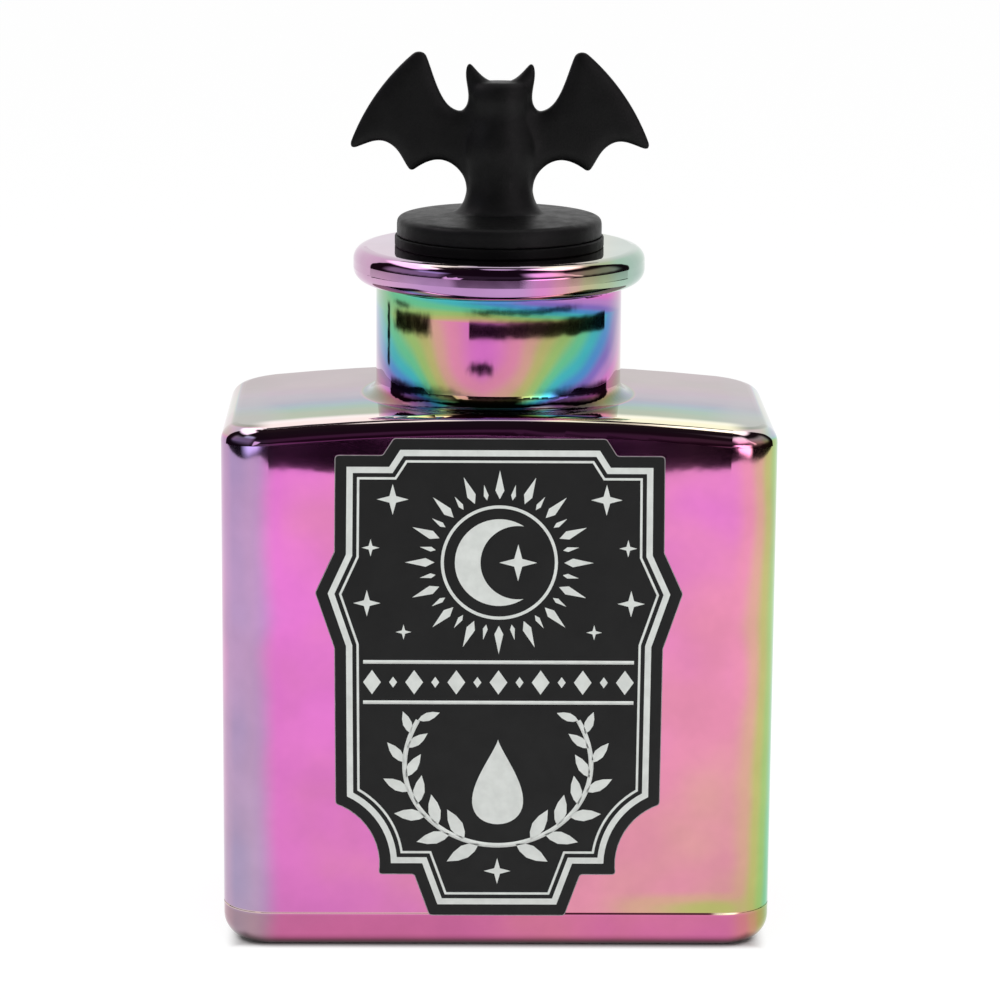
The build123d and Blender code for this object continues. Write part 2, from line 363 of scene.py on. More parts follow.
def rises(tree, value, low, high):
    """0 below low, 1 above high and a smooth rise between"""
    inputs = {"Value": value, "From Min": low, "From Max": high}
    return node(tree, "ShaderNodeMapRange", inputs, interpolation_type="SMOOTHSTEP").outputs["Result"]


def falls(tree, value, low, high):
    """1 below low, 0 above high and a smooth fall between"""
    return minus(tree, 1.0, rises(tree, value, low, high))


def share_past(tree, value, start, reach):
    """How far a value is past a start, as a share of a reach, from 0 to 1"""
    return math_node(tree, "DIVIDE", minus(tree, value, start), reach, clamp=True)


# Places of a Mix node's inputs and outputs, whose names it has more than once
MIX_FACTOR = 0
MIX_NUMBERS = (2, 3)
MIX_COLOURS = (6, 7)
NUMBER_OUT = 0
COLOUR_OUT = 2


def mix_value(tree, factor, first, second):
    """A number between two, which are numbers or sockets"""
    inputs = {MIX_FACTOR: factor, **dict(zip(MIX_NUMBERS, (first, second)))}
    return node(tree, "ShaderNodeMix", inputs, data_type="FLOAT").outputs[NUMBER_OUT]


def mix_colour(tree, factor, first, second, blend="MIX"):
    """A colour between two, which are colours or sockets"""
    inputs = {MIX_FACTOR: factor}
    for place, value in zip(MIX_COLOURS, (first, second)):
        inputs[place] = value if isinstance(value, bpy.types.NodeSocket) else (*value, 1.0)
    return node(tree, "ShaderNodeMix", inputs, data_type="RGBA", blend_type=blend).outputs[COLOUR_OUT]


def srgb(red, green, blue):
    """A colour written as on a screen, 0 to 255, as the light that it stands for"""
    return tuple(
        c / 255 / 12.92 if c <= 10 else ((c / 255 + 0.055) / 1.055) ** 2.4 for c in (red, green, blue)
    )


def new_group(name, kind, inputs, outputs):
    """A node group with its named sockets; gives the group and what comes in"""
    group = bpy.data.node_groups.new(name, kind)
    for direction, sockets in (("INPUT", inputs), ("OUTPUT", outputs)):
        for socket, value_kind in sockets.items():
            group.interface.new_socket(socket, in_out=direction, socket_type=f"NodeSocket{value_kind}")
    return group, node(group, "NodeGroupInput").outputs


def new_material(name):
    """An empty node material with its Principled shader; gives the material, its tree and the shader"""
    material = bpy.data.materials.new(name)
    material.use_nodes = True
    tree = material.node_tree
    return material, tree, tree.nodes["Principled BSDF"]


def mixed_material(name):
    """A node material without nodes, for a mix of shaders; gives the material and its tree"""
    material, tree, _ = new_material(name)
    tree.nodes.clear()
    return material, tree


def mix_shaders(tree, share, first, second):
    """Gives a material its first shader where the share is 0, and its second where it is 1"""
    mixed = node(tree, "ShaderNodeMixShader", {0: share, 1: first.outputs[0], 2: second.outputs[0]})
    node(tree, "ShaderNodeOutputMaterial", {"Surface": mixed.outputs[0]})


def dress(piece, material):
    """Gives every slot of a piece one material"""
    if not piece.material_slots:
        piece.data.materials.append(material)
    for slot in piece.material_slots:
        slot.material = material


# Colours of the plated film in the order that they follow each other as its colour shifts
FILM_COLOURS = (
    (0.00, srgb(226, 120, 206)),
    (0.10, srgb(229, 141, 176)),
    (0.20, srgb(217, 164, 150)),
    (0.30, srgb(190, 184, 118)),
    (0.40, srgb(160, 194, 116)),
    (0.50, srgb(108, 198, 150)),
    (0.60, srgb(74, 186, 194)),
    (0.70, srgb(84, 148, 210)),
    (0.80, srgb(136, 112, 196)),
    (0.90, srgb(188, 132, 204)),
)
FILM_PALE = srgb(206, 202, 204)


def film_colour_group():
    """Node group: the film's colour from its shift, which repeats after each whole number"""
    inputs = {"Shift": "Float", "Paleness": "Float"}
    group, given = new_group("film_colour", "ShaderNodeTree", inputs, {"Color": "Color"})
    ramp = node(group, "ShaderNodeValToRGB", {"Fac": math_node(group, "FRACT", given["Shift"])})
    ramp.color_ramp.interpolation = "EASE"
    stops = ramp.color_ramp.elements
    stops[1].position = 1.0
    stops[0].color = stops[1].color = (*FILM_COLOURS[0][1], 1.0)
    for place, colour in FILM_COLOURS[1:]:
        stops.new(place).color = (*colour, 1.0)
    mixed = mix_colour(group, given["Paleness"], ramp.outputs["Color"], FILM_PALE)
    node(group, "NodeGroupOutput", {"Color": mixed})
    return group


def mottle_group():
    """Node group: a cloudy value between two, from noise of one scale"""
    inputs = {"Vector": "Vector", "Scale": "Float", "Low": "Float", "High": "Float"}
    group, given = new_group("mottle", "ShaderNodeTree", inputs, {"Value": "Float"})
    noise = {"Vector": given["Vector"], "Scale": given["Scale"], "Detail": 3.0, "Roughness": 0.55}
    cloud = node(group, "ShaderNodeTexNoise", noise).outputs["Fac"]
    value = mix_value(group, rises(group, cloud, *MOTTLE_SPREAD), given["Low"], given["High"])
    node(group, "NodeGroupOutput", {"Value": value})
    return group


def mottle(tree, vector, scale, low, high):
    """A cloudy value between two in a material"""
    inputs = {"Vector": vector, "Scale": scale, "Low": low, "High": high}
    return node(tree, "ShaderNodeGroup", inputs, node_tree=MOTTLE).outputs["Value"]


def bump(tree, place, scale, depth):
    """The normal of a surface with small bumps of one scale and depth"""
    inputs = {"Strength": 1.0, "Distance": depth, "Height": mottle(tree, place, scale, 0.0, 1.0)}
    return node(tree, "ShaderNodeBump", inputs).outputs["Normal"]


def coordinates(tree, kind):
    """Object coordinates or the normal, by their name"""
    return node(tree, "ShaderNodeTexCoord").outputs[kind]


def parts_of(tree, vector):
    """The three parts of a vector, by the names of their axes"""
    return node(tree, "ShaderNodeSeparateXYZ", {"Vector": vector}).outputs


def glass_places(tree):
    """Where a point of the glass lies, in millimetres, which way it faces and in which zones it is"""
    at = SimpleNamespace()
    at.place = coordinates(tree, "Object")
    parts = parts_of(tree, at.place)
    at.x, at.y, at.z = (times(tree, parts[axis], MILLIMETRES) for axis in "XYZ")
    facing = parts_of(tree, coordinates(tree, "Normal"))
    at.upward = facing["Z"]
    at.outward = plus(tree, times(tree, at.x, facing["X"]), times(tree, at.y, facing["Y"]))
    at.out = size_of(tree, at.x)
    at.inwards = math_node(tree, "DIVIDE", plus(tree, at.y, TOP_FRONT), TOP_STEP)
    at.right = math_node(tree, "GREATER_THAN", at.x, 0.0)
    at.depth = rises(tree, size_of(tree, at.y), *CORNER_DEPTH)
    at.corner = times(tree, share_past(tree, at.out, LEFT_CORNER_START, LEFT_CORNER_REACH), at.depth)
    at.left_corner = times(tree, rises(tree, at.corner, *LEFT_CORNER_SHARE), minus(tree, 1.0, at.right))

    # The neck, its foot and the lip stand on the body's top
    across = node(tree, "ShaderNodeCombineXYZ", {"X": at.x, "Y": at.y}).outputs["Vector"]
    reach = node(tree, "ShaderNodeVectorMath", {0: across}, operation="LENGTH").outputs["Value"]
    near_axis = times(tree, falls(tree, reach, *NECK_REACH), rises(tree, at.z, *BODY_TOP_RISE))
    at.on_neck = larger(tree, rises(tree, at.z, *NECK_RISE), near_axis)
    at.on_lip = rises(tree, at.z, *LIP_RISE)
    at.on_top = rises(tree, at.upward, *TOP_FACING)
    off_neck = minus(tree, 1.0, at.on_neck)
    at.on_body_top = times(tree, at.on_top, off_neck, rises(tree, at.z, *BODY_TOP_RISE))
    at.in_front = times(tree, falls(tree, at.out, *FRONT_OUT), falls(tree, at.y, *FRONT_DEPTH))
    return at


def wall_shift(tree, at):
    """Walls of the body: a slow change from left to right, and a fast one round the corners"""
    across = math_node(tree, "MULTIPLY_ADD", at.x, WALL_SHIFT_PER_MM, WALL_SHIFT)
    near_shoulder = mix_value(tree, rises(tree, at.x, *SHOULDER_ACROSS), *SHOULDER_SHIFTS)
    across = plus(tree, across, times(tree, rises(tree, at.z, *SHOULDER_RISE), near_shoulder))
    gold = times(tree, rises(tree, at.x, *GOLD_ACROSS), falls(tree, at.out, *GOLD_OUT))
    gold = times(tree, gold, falls(tree, at.z, *GOLD_RISE))
    across = math_node(tree, "MULTIPLY_ADD", gold, GOLD_SHIFT, across)
    under_seam = falls(tree, at.z, SEAM_HEIGHT - SEAM_BLEND, SEAM_HEIGHT + SEAM_BLEND)
    across = mix_value(tree, under_seam, across, UNDER_SEAM_SHIFT)

    far_right = times(tree, share_past(tree, at.out, RIGHT_CORNER_START, RIGHT_CORNER_REACH), at.depth)
    right_shift = times(tree, math_node(tree, "POWER", far_right, RIGHT_CORNER_POWER), RIGHT_CORNER_SHIFT)
    edge = falls(tree, at.corner, *LEFT_EDGE_SHARE)
    left_shift = math_node(tree, "MULTIPLY_ADD", edge, LEFT_EDGE_SHIFT, LEFT_CORNER_SHIFT)
    left_shift = times(tree, rises(tree, at.corner, *LEFT_CORNER_RISE), left_shift)
    shift = plus(tree, across, mix_value(tree, at.right, left_shift, right_shift))
    rim = times(tree, rises(tree, at.upward, *ROUNDED_FACING), rises(tree, at.out, *RIM_OUT))
    return math_node(tree, "MULTIPLY_ADD", rim, RIM_SHIFT, shift)


def top_shift(tree, at):
    """Top of the body: two steps from the front edge to the neck"""
    near_edge = times(tree, rises(tree, at.inwards, *TOP_EDGE_STEPS), TOP_EDGE_SHIFT)
    near_neck = times(tree, rises(tree, at.inwards, *TOP_NECK_STEPS), TOP_NECK_SHIFT)
    return plus(tree, TOP_SHIFT, near_edge, near_neck)


def neck_shift(tree, at):
    """Neck: bands that follow the turn about the bottle's axis and lean, and cross ones under the lip"""
    turn = math_node(tree, "ARCTAN2", at.x, times(tree, at.y, -1.0))
    aside = size_of(tree, plus(tree, turn, NECK_TURN))
    folded = minus(tree, QUARTER, size_of(tree, minus(tree, QUARTER, aside)))
    ring = math_node(tree, "POWER", math_node(tree, "DIVIDE", folded, QUARTER), NECK_RING_POWER)
    shift = math_node(tree, "MULTIPLY_ADD", ring, NECK_RING_SHIFT, NECK_SHIFT)
    lean = times(tree, minus(tree, NECK_LEAN_TOP, at.z), NECK_LEAN_PER_MM)
    shift = plus(tree, shift, times(tree, lean, rises(tree, ring, *NECK_LEAN_RING)))
    low = share_past(tree, NECK_FOOT_TOP, at.z, NECK_FOOT_REACH)
    shift = math_node(tree, "MULTIPLY_ADD", times(tree, low, low), NECK_FOOT_SHIFT, shift)
    flare = rises(tree, at.upward, *NECK_FLARE_FACING)
    shift = math_node(tree, "MULTIPLY_ADD", flare, NECK_FLARE_SHIFT, shift)
    under_lip = math_node(tree, "MULTIPLY_ADD", at.x, UNDER_LIP_SHIFT_PER_MM, UNDER_LIP_SHIFT)
    near_lip = share_past(tree, at.z, UNDER_LIP_START, UNDER_LIP_REACH)
    return mix_value(tree, math_node(tree, "POWER", near_lip, UNDER_LIP_POWER), shift, under_lip)


def lip_shift(tree, at):
    """Lip: magenta at the left to green at the right"""
    right = times(tree, rises(tree, at.x, *LIP_RIGHT), LIP_RIGHT_SHIFT)
    left = times(tree, rises(tree, times(tree, at.x, -1.0), *LIP_LEFT), LIP_LEFT_SHIFT)
    return plus(tree, LIP_SHIFT, right, left)


def film_paleness(tree, at):
    """How pale the film is: it loses its colour where it is thin"""
    top = mix_value(tree, rises(tree, at.inwards, *TOP_PALE_STEPS), *TOP_PALE)
    top = larger(tree, top, times(tree, rises(tree, at.out, *TOP_SIDE_OUT), TOP_SIDE_PALE))
    rounded_top = times(tree, rises(tree, at.upward, *ROUNDED_FACING), ROUNDED_PALE)
    body = mix_value(tree, at.on_top, rounded_top, top)
    body = larger(tree, body, times(tree, at.left_corner, LEFT_CORNER_PALE))
    neck = times(tree, rises(tree, at.out, *NECK_SIDE_OUT), NECK_SIDE_PALE)
    lip = plus(tree, LIP_PALE, times(tree, rises(tree, at.out, *LIP_SIDE_OUT), LIP_SIDE_PALE))
    lip = larger(tree, lip, times(tree, rises(tree, at.upward, *LIP_TOP_FACING), LIP_TOP_PALE))
    return mix_value(tree, at.on_neck, body, mix_value(tree, at.on_lip, neck, lip))


def film_with_painted_shade(tree, at, colour):
    """The film's colour is darker towards the bottom, under the seam, at the left corner and on the neck,
    with painted shade on the top, round the neck's foot and at the heel; cloudy all over
    """
    low_shade = mix_colour(tree, rises(tree, at.x, *LOW_ACROSS), *LOW_SHADES)
    foot_facing = rises(tree, at.upward, *NECK_FOOT_FACING)
    for share, shade in (
        (falls(tree, at.z, *LOW_RISE), low_shade),
        (falls(tree, at.z, *UNDER_SEAM_RISE), UNDER_SEAM_SHADE),
        (times(tree, at.left_corner, rises(tree, at.z, *HIGH_CORNER_RISE)), HIGH_CORNER_SHADE),
        (at.on_neck, NECK_SHADE),
        # Painted shade on the body's top
        (at.on_body_top, TOP_PAINTED_SHADE),
        # Painted shade at the foot of the neck, darkest in front, for the dark studio that it reflects
        (
            times(tree, at.on_neck, foot_facing, falls(tree, at.z, *NECK_RISE)),
            mix_colour(tree, at.in_front, *NECK_FOOT_PAINTED_SHADES),
        ),
        # Painted shade on the top in front of the neck, for the neck's dark foot that it reflects
        (times(tree, at.on_body_top, at.in_front), TOP_FRONT_PAINTED_SHADE),
        # Painted shade at the heel
        (falls(tree, at.z, *HEEL_RISE), HEEL_PAINTED_SHADE),
    ):
        colour = mix_colour(tree, share, colour, shade, "MULTIPLY")
    cloud = mottle(tree, at.place, CLOUD_SCALE, *CLOUD_SHADES)
    grey = node(tree, "ShaderNodeCombineColor", dict.fromkeys(("Red", "Green", "Blue"), cloud))
    return mix_colour(tree, 1.0, colour, grey.outputs["Color"], "MULTIPLY")


def with_painted_seam_light(tree, at, colour):
    """Mould seam as painted light: a line of painted shade at the right, which ends in a painted glint, and a
    pale painted highlight at the left
    """
    seam = falls(tree, size_of(tree, minus(tree, at.z, SEAM_HEIGHT)), *SEAM_LINE)
    dark = times(tree, seam, rises(tree, at.x, *SEAM_SHADE_START), falls(tree, at.x, *SEAM_SHADE_END))
    glint = times(tree, seam, rises(tree, at.x, *SEAM_GLINT_START), falls(tree, at.x, *SEAM_GLINT_END))
    pale_highlight = times(tree, seam, falls(tree, at.x, *SEAM_HIGHLIGHT_END), SEAM_HIGHLIGHT_SHARE)
    # Painted shade along the seam, then its painted glint and pale highlight
    colour = mix_colour(tree, dark, colour, srgb(84, 34, 52))
    return mix_colour(tree, larger(tree, glint, pale_highlight), colour, srgb(255, 236, 206))


def with_painted_crest(tree, at, colour):
    """Painted highlight: the front edge of the shoulder is coloured nearly silver, so that it shows as a
    bright line
    """
    crest_highlight = times(
        tree, rises(tree, at.upward, *CREST_FACING), falls(tree, at.y, *CREST_DEPTH),
        falls(tree, at.out, *CREST_END_OUT), rises(tree, at.out, *CREST_START_OUT),
    )
    highlight_colour = mix_colour(tree, rises(tree, at.x, *CREST_ACROSS), srgb(255, 234, 232), srgb(255, 250, 216))
    return mix_colour(tree, crest_highlight, colour, highlight_colour)


def iridescent_glass():
    """Mirror-bright plated film on glass, whose colour shifts across the bottle"""
    material, tree, shader = new_material("iridescent_glass")
    at = glass_places(tree)
    body = mix_value(tree, at.on_top, wall_shift(tree, at), top_shift(tree, at))
    neck = mix_value(tree, at.on_lip, neck_shift(tree, at), lip_shift(tree, at))
    drift = mottle(tree, at.place, DRIFT_SCALE, *DRIFT_SHIFTS)
    shift = plus(tree, mix_value(tree, at.on_neck, body, neck), drift)
    inputs = {"Shift": shift, "Paleness": film_paleness(tree, at)}
    film = node(tree, "ShaderNodeGroup", inputs, node_tree=film_colour_group())
    # Painted shade on the top, round the neck's foot and at the heel
    colour = film_with_painted_shade(tree, at, film.outputs["Color"])
    # Painted light along the mould seam and a painted highlight along the shoulder's front edge
    colour = with_painted_crest(tree, at, with_painted_seam_light(tree, at, colour))

    # Inside, the plating is seen from behind through the glass, dull and smoky
    inside = falls(tree, at.outward, *INSIDE_OUTWARD)
    colour = mix_colour(tree, inside, colour, srgb(96, 66, 88))
    gloss = mottle(tree, at.place, GLOSS_SCALE, *GLOSS_ROUGHNESS)
    roughness = mix_value(tree, inside, gloss, INSIDE_ROUGHNESS)
    metal = math_node(tree, "MULTIPLY_ADD", inside, INSIDE_METAL - 1.0, 1.0)

    # Pressed glass is a little wavy
    waves = bump(tree, at.place, WAVE_SCALE, WAVE_DEPTH)
    for name, value in (
        ("Base Color", colour), ("Roughness", roughness), ("Metallic", metal), ("Normal", waves),
    ):
        feed(tree, shader.inputs[name], value)
    return material


def grained_finish(name, dark, light, clouds, roughness, grain, depth, gloss=0.5, metallic=0.0):
    """A plain finish with a cloudy colour and roughness and a fine grain, by their scales"""
    material, tree, shader = new_material(name)
    place = coordinates(tree, "Object")
    for socket, value in (
        ("Base Color", mix_colour(tree, mottle(tree, place, clouds, 0.0, 1.0), dark, light)),
        ("Roughness", mottle(tree, place, clouds * ROUGHNESS_CLOUDS, *roughness)),
        ("Normal", bump(tree, place, grain, depth)),
        ("Specular IOR Level", gloss),
        ("Metallic", metallic),
    ):
        feed(tree, shader.inputs[socket], value)
    return material


def soft_black():
    """Soft-touch rubber of the bat and its disc"""
    return grained_finish(
        "soft_black", (0.0030, 0.0032, 0.0032), (0.0046, 0.0048, 0.0048),
        clouds=160.0, roughness=(0.40, 0.52), grain=2600.0, depth=0.000012, gloss=0.18,
    )


def plug_black():
    """Matte black of the plug"""
    return grained_finish(
        "plug_black", (0.0020, 0.0021, 0.0021), (0.0030, 0.0031, 0.0031),
        clouds=220.0, roughness=(0.46, 0.56), grain=3400.0, depth=0.000008, gloss=0.10,
    )


def milky_silicone():
    """Milky silicone of the seal rings"""
    return grained_finish(
        "milky_silicone", (0.50, 0.50, 0.47), (0.60, 0.60, 0.57),
        clouds=300.0, roughness=(0.32, 0.46), grain=2000.0, depth=0.000010,
    )


def zinc_plate():
    """Zinc plating of the washer and the screw"""
    return grained_finish(
        "zinc_plate", (0.46, 0.47, 0.50), (0.64, 0.65, 0.66),
        clouds=420.0, roughness=(0.24, 0.40), grain=5200.0, depth=0.000006, metallic=1.0,
    )


def satin_black_film():
    """Satin black film of the label"""
    return grained_finish(
        "satin_black_film", (0.0066, 0.0070, 0.0070), (0.0090, 0.0094, 0.0094),
        clouds=120.0, roughness=(0.42, 0.54), grain=3000.0, depth=0.000006, gloss=0.25,
    )


def white_ink():
    """White ink of the print"""
    return grained_finish(
        "white_ink", srgb(214, 218, 214), srgb(226, 230, 226),
        clouds=400.0, roughness=(0.46, 0.60), grain=4200.0, depth=0.000005, gloss=0.3,
    )


def cut_paper():
    """Bare edge of the label where it is cut"""
    return grained_finish(
        "cut_paper", srgb(140, 132, 136), srgb(164, 156, 160),
        clouds=500.0, roughness=(0.6, 0.7), grain=4000.0, depth=0.000005,
    )


def new_object(name, data):
    """A new object in the scene"""
    made = bpy.data.objects.new(name, data)
    bpy.context.scene.collection.objects.link(made)
    return made


def mesh_object(name, points, edges=(), faces=()):
    """A new object whose mesh has these points, edges and faces"""
    mesh = bpy.data.meshes.new(name)
    mesh.from_pydata(points, edges, faces)
    return new_object(name, mesh)


def plain_copy(name, source):
    """A free copy of a CAD node's mesh with its points merged"""
    mesh = source.data.copy()
    mesh.name = name
    shape = bmesh.new()
    shape.from_mesh(mesh)
    bmesh.ops.remove_doubles(shape, verts=shape.verts, dist=POINT_MERGE)
    bmesh.ops.recalc_face_normals(shape, faces=shape.faces)
    shape.to_mesh(mesh)
    shape.free()
    return new_object(name, mesh)


def apply_modifiers(piece):
    """Replaces a piece's mesh by what its modifiers make of it"""
    depsgraph = bpy.context.evaluated_depsgraph_get()
    made = bpy.data.meshes.new_from_object(piece.evaluated_get(depsgraph))
    piece.modifiers.clear()
    piece.data = made
    return piece


def disc_top_height(mesh):
    """How high the disc reaches under the bat's wings, well out from the bat's body"""
    reach = (topper_high.y - topper_low.y) / 4
    return max(v.co.z for v in mesh.vertices if abs(v.co.y) > reach)


def soften_above(piece, name, height, fade, passes, **settings):
    """Smooths a piece above a height, where the smoothing sets in over the fade"""
    group = piece.vertex_groups.new(name=name)
    for vertex in piece.data.vertices:
        share = (vertex.co.z - height) / fade
        if share > 0:
            group.add([vertex.index], min(share, 1.0), "REPLACE")
    smooth = piece.modifiers.new(name, "SMOOTH")
    smooth.factor = SOFT_FACTOR
    smooth.iterations = passes
    smooth.vertex_group = group.name
    for setting, value in settings.items():
        setattr(smooth, setting, value)


def soft_topper():
    """The bat and its disc as moulded in soft rubber: the solid with its corners softened, all but the sharp
    corner of the disc's underside
    """
    piece = plain_copy("bat_soft", nodes["bat_topper"])
    remesh = piece.modifiers.new("even_skin", "REMESH")
    remesh.mode = "VOXEL"
    remesh.voxel_size = SOFT_GRAIN
    remesh.use_smooth_shade = True
    apply_modifiers(piece)
    # The bat's body flows into its wings, so its relief is evened out from front to back alone
    bat_start = disc_top_height(piece.data) + BODY_START
    soften_above(piece, "bat", bat_start, BODY_FADE, BODY_PASSES, use_x=False, use_z=False)
    # The disc's underside keeps its sharp corner, where it lies on the plug's flange
    disc_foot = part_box("stopper_plug")[1].z
    soften_above(piece, "above_foot", disc_foot + FOOT_FADE, FOOT_FADE, SOFT_PASSES)
    apply_modifiers(piece)
    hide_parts("bat_topper")
    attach(piece, "stopper")
    return piece


def label_at(across_share, height_share):
    """A point (across, up) of the label's face from shares of its half width and its height"""
    return (label_high.x * across_share, label_low.z + (label_high.z - label_low.z) * height_share)


def circle_centre(a, b, c):
    """The centre of the circle through three points"""
    cross = 2 * (a.x * (b.y - c.y) + b.x * (c.y - a.y) + c.x * (a.y - b.y))
    across = a.dot(a) * (b.y - c.y) + b.dot(b) * (c.y - a.y) + c.dot(c) * (a.y - b.y)
    up = a.dot(a) * (c.x - b.x) + b.dot(b) * (a.x - c.x) + c.dot(c) * (b.x - a.x)
    return Vector((across / cross, up / cross))


def inset_corners(chain, distance):
    """The inner corners of a clockwise chain moved inwards, so that all its sides move by the distance"""
    moved = []
    for before, here, after in zip(chain, chain[1:], chain[2:]):
        first, second = (here - before).normalized(), (after - here).normalized()
        inward_first, inward_second = Vector((first.y, -first.x)), Vector((second.y, -second.x))
        inward = (inward_first + inward_second) * distance / (1 + inward_first.dot(inward_second))
        moved.append(here + inward)
    return moved


def meet_circle(start, end, distance, centre, radius):
    """Where the line from start to end, moved inwards by the distance, meets a circle nearest to its start"""
    along = (end - start).normalized()
    foot = start + Vector((along.y, -along.x)) * distance - centre
    middle = foot.dot(along)
    reach = math.sqrt(middle**2 - foot.dot(foot) + radius**2)
    ways = (-middle - reach, -middle + reach)
    return centre + foot + along * min(ways, key=abs)


def label_outline(inset=0.0):
    """The label's die-cut outline, as its solid has it, or the outline's inset. Clockwise from the front"""
    top, scoop, foot = (
        [Vector(label_at(*share)) for share in shares]
        for shares in (LABEL_TOP_SHARES, LABEL_SCOOP_SHARES, LABEL_FOOT_SHARES)
    )
    centre = circle_centre(*scoop)
    radius = (scoop[0] - centre).length + inset
    first = meet_circle(scoop[0], top[-1], -inset, centre, radius)
    last = meet_circle(scoop[2], foot[0], inset, centre, radius)
    start = math.atan2(first.y - centre.y, first.x - centre.x)
    sweep = (math.atan2(last.y - centre.y, last.x - centre.x) - start) % (2 * math.pi)
    right = inset_corners([Vector((-top[0].x, top[0].y)), *top, scoop[0]], inset)
    for step in range(LABEL_SCOOP_STEPS + 1):
        turn = start + sweep * step / LABEL_SCOOP_STEPS
        right.append(centre + Vector((math.cos(turn), math.sin(turn))) * radius)
    right += inset_corners([scoop[2], *foot, Vector((-foot[-1].x, foot[-1].y))], inset)
    return [tuple(point) for point in right] + [(-x, z) for x, z in reversed(right)]


def circle_outline(centre, radius, count=64):
    """A circle, clockwise from its top"""
    turns = [2 * math.pi * step / count for step in range(count)]
    return [(centre[0] + radius * math.sin(t), centre[1] + radius * math.cos(t)) for t in turns]


def star_outline(centre, reach, tips=4):
    """A pointed star with a narrow waist between its tips"""
    points = []
    for step in range(2 * tips):
        turn = math.pi * step / tips
        out = reach if step % 2 == 0 else reach * STAR_WAIST_SHARE
        points.append((centre[0] + out * math.sin(turn), centre[1] + out * math.cos(turn)))
    return points


def crescent_outline(centre, radius, bite_radius, bite_shift, count=40):
    """A crescent that opens to the right"""
    meet = (radius**2 - bite_radius**2 + bite_shift**2) / (2 * bite_shift)
    outer_turn = math.acos(meet / radius)
    inner_turn = math.acos((meet - bite_shift) / bite_radius)
    points = []
    for step in range(count + 1):
        turn = outer_turn + (2 * math.pi - 2 * outer_turn) * step / count
        points.append((centre[0] + radius * math.cos(turn), centre[1] - radius * math.sin(turn)))
    for step in range(1, count):
        turn = 2 * math.pi - inner_turn - (2 * math.pi - 2 * inner_turn) * step / count
        across = centre[0] + bite_shift + bite_radius * math.cos(turn)
        points.append((across, centre[1] - bite_radius * math.sin(turn)))
    return points


def drop_outline(centre, width, length, count=48):
    """A drop with its tip up"""
    points = []
    for step in range(count):
        turn = 2 * math.pi * step / count
        across = width / 2 * math.sin(turn) * math.sin(turn / 2) ** DROP_TIP_POWER * DROP_SWELL
        points.append((centre[0] + across, centre[1] + length / 2 * math.cos(turn)))
    return points


def leaf_outline():
    """A leaf with its stalk at the origin and its tip up"""
    side = [(LEAF_WIDTH * across, LEAF_LENGTH * along) for across, along in LEAF_SIDE_SHARES]
    return [(0, 0), *side, (0, LEAF_LENGTH), *((-x, z) for x, z in reversed(side))]


def ink_ring(shape, outer, inner):
    """Adds the face between two outlines of as many points"""
    rows = [[shape.verts.new((x, 0, z)) for x, z in outline] for outline in (outer, inner)]
    count = len(outer)
    for index in range(count):
        after = (index + 1) % count
        shape.faces.new((rows[0][index], rows[0][after], rows[1][after], rows[1][index]))


def ink_patch(shape, outline):
    """Adds the face inside an outline"""
    shape.faces.new([shape.verts.new((x, 0, z)) for x, z in outline])


def ink_object(name, shape, plane):
    """Turns flat faces into raised ink on the plane y = plane, sunk in it a little and closed all round"""
    bmesh.ops.recalc_face_normals(shape, faces=shape.faces)
    for vertex in shape.verts:
        vertex.co.y = plane - INK_HEIGHT
    made = bmesh.ops.extrude_face_region(shape, geom=shape.faces[:])
    for part in made["geom"]:
        if isinstance(part, bmesh.types.BMVert):
            part.co.y = plane + INK_SUNK
    bmesh.ops.recalc_face_normals(shape, faces=shape.faces)
    mesh = bpy.data.meshes.new(name)
    shape.to_mesh(mesh)
    shape.free()
    return new_object(name, mesh)


def stamp(outline):
    """A small ink shape round the origin, which a row repeats"""
    shape = bmesh.new()
    ink_patch(shape, outline)
    return ink_object("stamp", shape, 0.0)


def finish_tree(tree, geometry, material, name):
    """Ends a Geometry Nodes tree: real geometry in one material"""
    real = node(tree, "GeometryNodeRealizeInstances", {"Geometry": geometry}).outputs["Geometry"]
    dressed = node(tree, "GeometryNodeSetMaterial", {"Geometry": real, "Material": material})
    node(tree, "NodeGroupOutput", {name: dressed.outputs["Geometry"]})
    return tree


